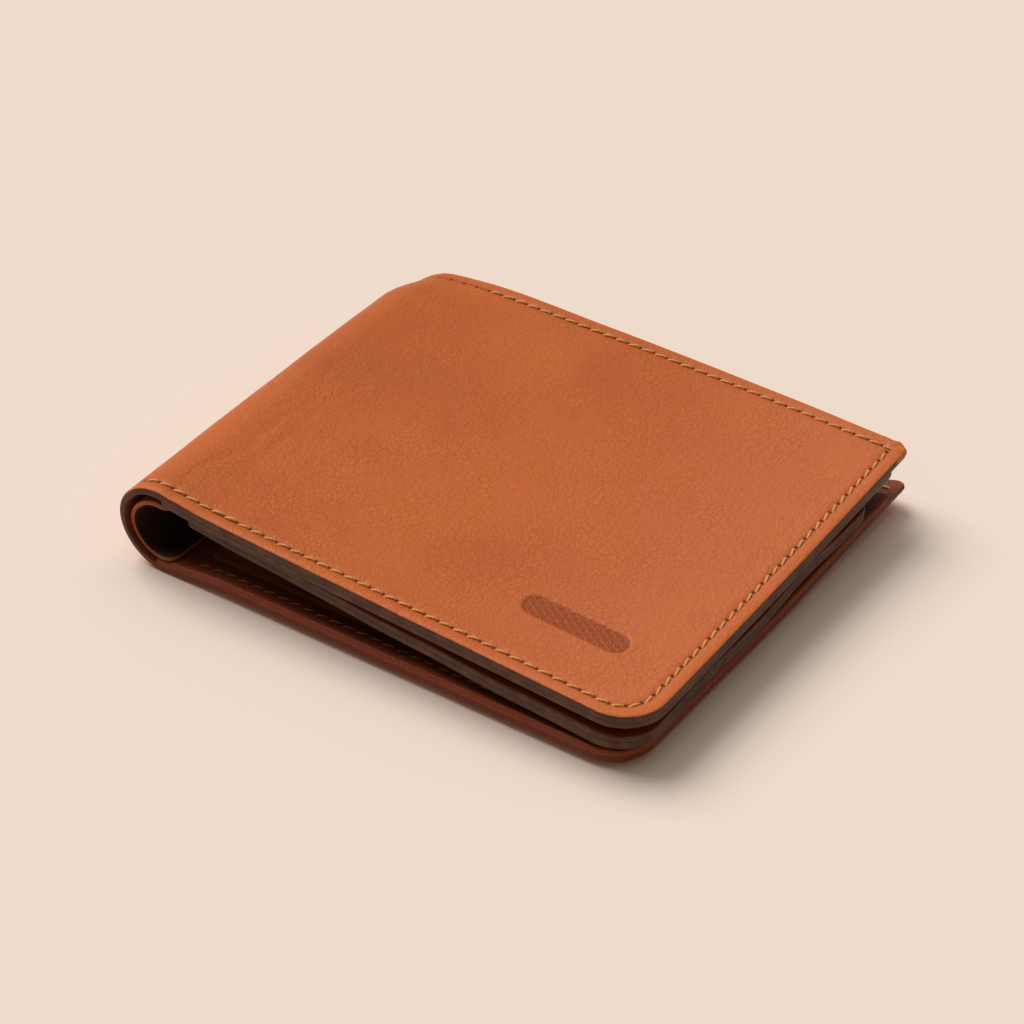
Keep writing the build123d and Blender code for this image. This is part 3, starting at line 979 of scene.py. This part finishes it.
for cover, to_u, slots in (("back", back_u, 3), ("front", front_u, 2)):
    box = plain_box(f"{cover}_inner_panel", to_u)
    box = (box[0] + 2.6 * MM, u_front, near_y, box[3]) if cover == "front" else (u_back, box[1], near_y, box[3])
    corners = (1 * MM, 9 * MM, 1.5 * MM, 1 * MM) if cover == "front" else (9 * MM, 1 * MM, 1 * MM, 1.5 * MM)
    mesh = make_sheet(
        f"{cover}_panel",
        roll_up,
        box,
        (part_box("back_lining")[1].z + 0.32 * MM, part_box("back_inner_panel")[1].z),
        corners,
        (plain_grain, edge_paint if cover == "front" else inner_grain_painted_shade, inner_grain_painted_shade),
        relief=panel_relief,
        sides=cover,
        rim=0.01 * MM,
        inner_rim=0.35 * MM if cover == "front" else 0.72 * MM,
        bulge=0.02 * MM,
    )
    finish_piece(f"{cover}_panel", mesh, f"{cover}_cover", [f"{cover}_inner_panel"])
    low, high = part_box("back_pocket_lining")
    mesh = make_sheet(
        f"{cover}_pocket_cloth",
        roll_up,
        plain_box(f"{cover}_pocket_lining", to_u),
        (low.z + 0.01 * MM, high.z - 0.01 * MM),
        (1 * MM,) * 4,
        (cloth, cloth, cloth),
        step=2 * MM,
        side_cuts=1,
        bulge=0.0,
    )
    finish_piece(f"{cover}_pocket_cloth", mesh, f"{cover}_cover", [f"{cover}_pocket_lining"])
    for k in range(1, slots + 1):
        low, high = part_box(f"back_card_slot_{k}")
        mesh = make_sheet(
            f"{cover}_slot_{k}",
            roll_up,
            plain_box(f"{cover}_card_slot_{k}", to_u),
            (low.z + 0.01 * MM, high.z - 0.01 * MM),
            (1.5 * MM,) * 4,
            (plain_grain, edge_paint, plain_grain),
            step=1.2 * MM,
            rim=0.15 * MM,
            bulge=0.03 * MM,
            wave=0.03 * MM,
        )
        node = f"{cover}_card_slot_{k}"
        finish_piece(f"{cover}_slot_{k}_leather", mesh, f"{cover}_cover", [node])

# Deep enough to reach the leaf, because the swollen roll lifts the cover away from it.
HINGE_STRIP_DEPTHS = (2.8 * MM, 4.95 * MM)
hinge_strip = make_sheet(
    "leaf_hinge_leather",
    roll_up,
    plain_box("leaf_hinge_strip", front_u),
    HINGE_STRIP_DEPTHS,
    (0.8 * MM,) * 4,
    (plain_grain, plain_grain, plain_grain),
    step=1.2 * MM,
)
finish_piece("leaf_hinge_leather", hinge_strip, "front_cover", ["leaf_hinge_strip"])

# %% [markdown]
# ## The centre leaf
#
# The leaf is a frame of leather round a clear film on one side, and card slots on a thin back on the other. Its
# sewn rims are built up to meet each other, so that its edge reads as one painted band with a fine line in it.

# %% Build the leaf
FRAME_DEPTHS = (0.0, 0.7 * MM)
FILM_DEPTHS = (0.72 * MM, 0.88 * MM)
BACK_DEPTHS = (1.2 * MM, 1.8 * MM)
LEAF_SLOT = 0.45 * MM


def leaf_u(x):
    return (x - leaf_hinge.x) / math.cos(leaf_tilt)


def rim_fade(to_rim):
    return 1 - ease((to_rim - 4.5 * MM) / (1.5 * MM) + 0.5)


def built_up(amount):
    """Thickens a leaf sheet's inner face along its near and free rims."""

    def relief(u, y, edge):
        to_rim = np.minimum(leaf_length - u, y - leaf_low)
        taper = 0.35 + 0.65 * ease(u / leaf_length)
        off_hinge = ease((u - 5 * MM) / (7 * MM))
        return ((amount - 0.5 * MM) * taper * off_hinge + 0.5 * MM) * rim_fade(to_rim)

    return relief


LEAF_SPREAD_FREE, LEAF_SPREAD_NEAR = 1.3 * MM, 0.5 * MM
leaf_start = leaf_u(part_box("leaf_window_frame")[0].x)
leaf_box = (leaf_start, leaf_length + LEAF_SPREAD_FREE, leaf_low - LEAF_SPREAD_NEAR, leaf_high)
window_low, window_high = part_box("leaf_window")
FRAME_WIDTH = 13 * MM
opening = (
    leaf_box[0] + FRAME_WIDTH,
    leaf_box[1] - FRAME_WIDTH,
    leaf_box[2] + FRAME_WIDTH,
    leaf_box[3] - FRAME_WIDTH,
)
LEAF_CORNERS = (2 * MM, 8.5 * MM, 3 * MM, 2 * MM)
frame_mesh = make_sheet(
    "leaf_frame",
    hang_leaf,
    leaf_box,
    FRAME_DEPTHS,
    LEAF_CORNERS,
    (inner_grain_painted_shade, edge_paint, plain_grain),
    inner_relief=built_up(0.5 * MM),
    hole=opening,
    rim=0.3 * MM,
    inner_rim=0.01 * MM,
    sides="front",
    wave=0.2 * MM,
)
finish_piece("leaf_frame", frame_mesh, "centre_leaf", ["leaf_window_frame"])
film_box = (leaf_u(window_low.x), leaf_u(window_high.x), window_low.y, window_high.y)
film_mesh = make_sheet(
    "leaf_film",
    hang_leaf,
    film_box,
    FILM_DEPTHS,
    (1 * MM,) * 4,
    (film, film, film),
    step=1.6 * MM,
    side_cuts=1,
    bulge=0.0,
    wave=0.2 * MM,
)
finish_piece("leaf_film", film_mesh, "centre_leaf", ["leaf_window"])
back_mesh = make_sheet(
    "leaf_back_leather",
    hang_leaf,
    leaf_box,
    BACK_DEPTHS,
    LEAF_CORNERS,
    (plain_grain, edge_paint, inner_grain_painted_shade),
    inner_relief=built_up(1.15 * MM),
    rim=0.01 * MM,
    inner_rim=0.3 * MM,
    sides="front",
    wave=0.2 * MM,
)
finish_piece("leaf_back_leather", back_mesh, "centre_leaf", ["leaf_back"])
for k in (1, 2):
    low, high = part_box(f"leaf_card_slot_{k}")
    slot_start = BACK_DEPTHS[1] + (k - 1) * LEAF_SLOT
    slot_mesh = make_sheet(
        f"leaf_slot_{k}",
        hang_leaf,
        (leaf_u(low.x), min(leaf_u(high.x), leaf_length), low.y, high.y),
        (slot_start + 0.01 * MM, slot_start + LEAF_SLOT - 0.01 * MM),
        (1.5 * MM, 8.5 * MM, 1.5 * MM, 1.5 * MM),
        (plain_grain, edge_paint, plain_grain),
        step=1.2 * MM,
        rim=0.2 * MM,
        wave=0.2 * MM,
    )
    finish_piece(f"leaf_slot_{k}_leather", slot_mesh, "centre_leaf", [f"leaf_card_slot_{k}"])
print("leaf window in mm:", [round(v / MM, 1) for v in opening])

# %% [markdown]
# ## Hand stitching
#
# A saddle stitch is a short slanted bead that dives into a hole at each end. A curve with a profile would give one
# smooth cord, so each stitch is its own small capsule instead: a sphere of a few dozen faces, stretched, with its
# ends bent down. All the stitches of one seam are one object. They are laid between the same holes that the
# leather's material darkens, three millimetres apart.

# %% Sew the seams
random.seed(7)
PATH_STEP = 0.1 * MM
FINE_THREAD = 0.17 * MM


def seam_path(box, radii, inset, free, start, end):
    """Points (u, y) along a seam, a tenth of a millimetre apart, and the seam run at the first one."""
    u0, u1, y0, y1 = box
    flip = (lambda u: u0 + u1 - u) if free < 0 else (lambda u: u)
    start, end = flip(start), flip(end)
    radius = max(radii[1 if free > 0 else 0] - inset, 0.1 * MM)
    corner = (u1 - inset - radius, y0 + inset + radius)
    points = [(u, y0 + inset) for u in np.arange(start, corner[0], PATH_STEP)]
    for angle in np.arange(0, math.pi / 2, PATH_STEP / radius):
        points.append((corner[0] + radius * math.sin(angle), corner[1] - radius * math.cos(angle)))
    points += [(u1 - inset, y) for y in np.arange(corner[1], y1 - inset, PATH_STEP)]
    points += [(u, y1 - inset) for u in np.arange(u1 - inset, end, -PATH_STEP)]
    return np.array([(flip(u), y) for u, y in points]), start - u0


def bead():
    """One stitch from a sphere: x runs along it, from -1 to 1, with blunt ends."""
    bm = bmesh.new()
    bmesh.ops.create_uvsphere(bm, u_segments=8, v_segments=9, radius=1)
    for vert in bm.verts:
        ring = math.hypot(vert.co.x, vert.co.y)
        blunt = ring**0.55 / ring if ring > 1e-6 else 0
        vert.co = (vert.co.z, vert.co.x * blunt, vert.co.y * blunt)
    mesh = bpy.data.meshes.new("bead")
    bm.to_mesh(mesh)
    bm.free()
    return mesh


SLANT, LENGTH = 0.26, 2.72 * MM


def sew(name, path, run, place, depth, outward, body, nodes, look, radius=0.28 * MM):
    """
    Lays stitches along a path; outward is 1 on the outer face and -1 on the inner face. body is a body's name, or
    the number of a spine fold, and then the stitches are only baked in place, on no body.
    """
    first = math.ceil(run / PITCH - 0.5 + 1e-6)
    centres = (np.arange(first, first + 400) + 0.5) * PITCH - run
    places = np.round(centres / PATH_STEP).astype(int)
    places = places[(places > 6) & (places < len(path) - 7)]
    template = bead()
    shape = np.empty(len(template.vertices) * 3)
    template.vertices.foreach_get("co", shape)
    shape = shape.reshape(-1, 3)
    bm = bmesh.new()
    for _ in places:
        bm.from_mesh(template)
    bpy.data.meshes.remove(template)
    mesh = bpy.data.meshes.new(name)
    bm.to_mesh(mesh)
    bm.free()
    points, strands = [], []
    for at in places:
        here, before, after = path[at], path[at - 5], path[at + 5]
        middle = place(np.array([here[0]]), np.array([here[1]]), np.array([depth]))[0]
        over = place(np.array([here[0]]), np.array([here[1]]), np.array([depth - outward * MM]))[0]
        ends = place(np.array([before[0], after[0]]), np.array([before[1], after[1]]), np.array([depth] * 2))
        along = Vector(ends[1] - ends[0]).normalized()
        normal = Vector(over - middle).normalized()
        across = normal.cross(along).normalized()
        angle = SLANT * random.uniform(0.75, 1.25)
        sine, cosine = math.sin(angle), math.cos(angle)
        along, across = along * cosine + across * sine, across * cosine - along * sine
        thick = radius * random.uniform(0.93, 1.07)
        x = shape[:, 0] * LENGTH / 2
        dive = 0.42 * MM * np.abs(shape[:, 0]) ** 3.5
        rise = shape[:, 2] * thick * 0.9 + 0.13 * MM - dive
        points.append(
            np.array(middle)
            + np.outer(x, np.array(along))
            + np.outer(shape[:, 1] * thick, np.array(across))
            + np.outer(rise, np.array(normal))
        )
        strands.append(np.stack([x, np.arctan2(shape[:, 2], shape[:, 1]), np.zeros(len(x))], axis=-1))
    mesh.vertices.foreach_set("co", np.concatenate(points).ravel())
    store(mesh, "strand", np.concatenate(strands))
    mesh.polygons.foreach_set("use_smooth", np.ones(len(mesh.polygons), bool))
    mesh.materials.append(look)
    mesh.update()
    if isinstance(body, int):
        piece = add_object(name, mesh)
        blend_at_joint(piece)
        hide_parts(*nodes)
    else:
        finish_piece(name, mesh, body, nodes)
    return len(places)


front_seam = seam_path(whole, SHELL_CORNERS, SEAM_INSET, 1, SEAM_START_NEAR, SEAM_END_FAR)
back_seam = seam_path(whole, SHELL_CORNERS, SEAM_INSET, -1, -SEAM_START_NEAR, -SEAM_END_FAR)
IN_CHANNEL = 0.12 * MM
front_fold, back_fold = len(hinges) - 1, 0
count = sew(
    "front_outer_stitches",
    *front_seam,
    roll_up,
    IN_CHANNEL,
    1,
    front_fold,
    ["front_outer_thread"],
    golden_thread,
)
print("stitches on the front:", count)
path, run = front_seam
first = int(np.argmax(path[:, 0] > half_arc + 9.5 * MM))
doubled = (path[first : first + 70], run + first * PATH_STEP)
sew("front_back_stitch", *doubled, roll_up, -0.1 * MM, 1, front_fold, [], golden_thread, radius=0.34 * MM)
sew(
    "back_outer_stitches",
    *back_seam,
    roll_up,
    IN_CHANNEL + 0.22 * MM,
    1,
    back_fold,
    ["back_outer_thread"],
    golden_thread,
    radius=0.26 * MM,
)
path, run = back_seam
past_panel = path[:, 1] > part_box("back_inner_panel")[1].y + 0.8 * MM
first = int(np.argmax(past_panel))
inside = (path[first:], run + first * PATH_STEP)
face = shell_depths[1]
sew("back_far_stitches_inside", *inside, roll_up, face, -1, back_fold, [], golden_thread, radius=0.36 * MM)
panel_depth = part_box("back_inner_panel")[1].z
for cover, to_u in (("front", front_u), ("back", back_u)):
    box = plain_box(f"{cover}_inner_panel", to_u)
    panel_top = box[3] + SEAM_INSET
    if cover == "front":
        panel = (box[0], u_front, near_y, panel_top)
        free, begin, ends = 1, panel[0] + 7 * MM, panel[1]
    else:
        panel = (u_back, box[1], near_y, panel_top)
        free, begin, ends = -1, panel[1] - 7 * MM, panel[0]
    inner_seam = seam_path(panel, SHELL_CORNERS, SEAM_INSET, free, begin, ends)
    sew(
        f"{cover}_inner_stitches",
        *inner_seam,
        roll_up,
        panel_depth,
        -1,
        f"{cover}_cover",
        [f"{cover}_inner_thread"],
        brown_thread,
        radius=FINE_THREAD,
    )
LEAF_INSET = 2.4 * MM
leaf_seam_box = (leaf_box[0], leaf_box[1], leaf_box[2], leaf_box[3] + LEAF_INSET)
leaf_seam = seam_path(leaf_seam_box, LEAF_CORNERS, LEAF_INSET, 1, leaf_box[0] + 6 * MM, leaf_box[1])
for side, depth, outward in (("window", 0.0, 1), ("back", BACK_DEPTHS[1], -1)):
    sew(
        f"leaf_{side}_stitches",
        *leaf_seam,
        hang_leaf,
        depth,
        outward,
        "centre_leaf",
        [f"leaf_{side}_thread"],
        brown_thread,
        radius=FINE_THREAD,
    )
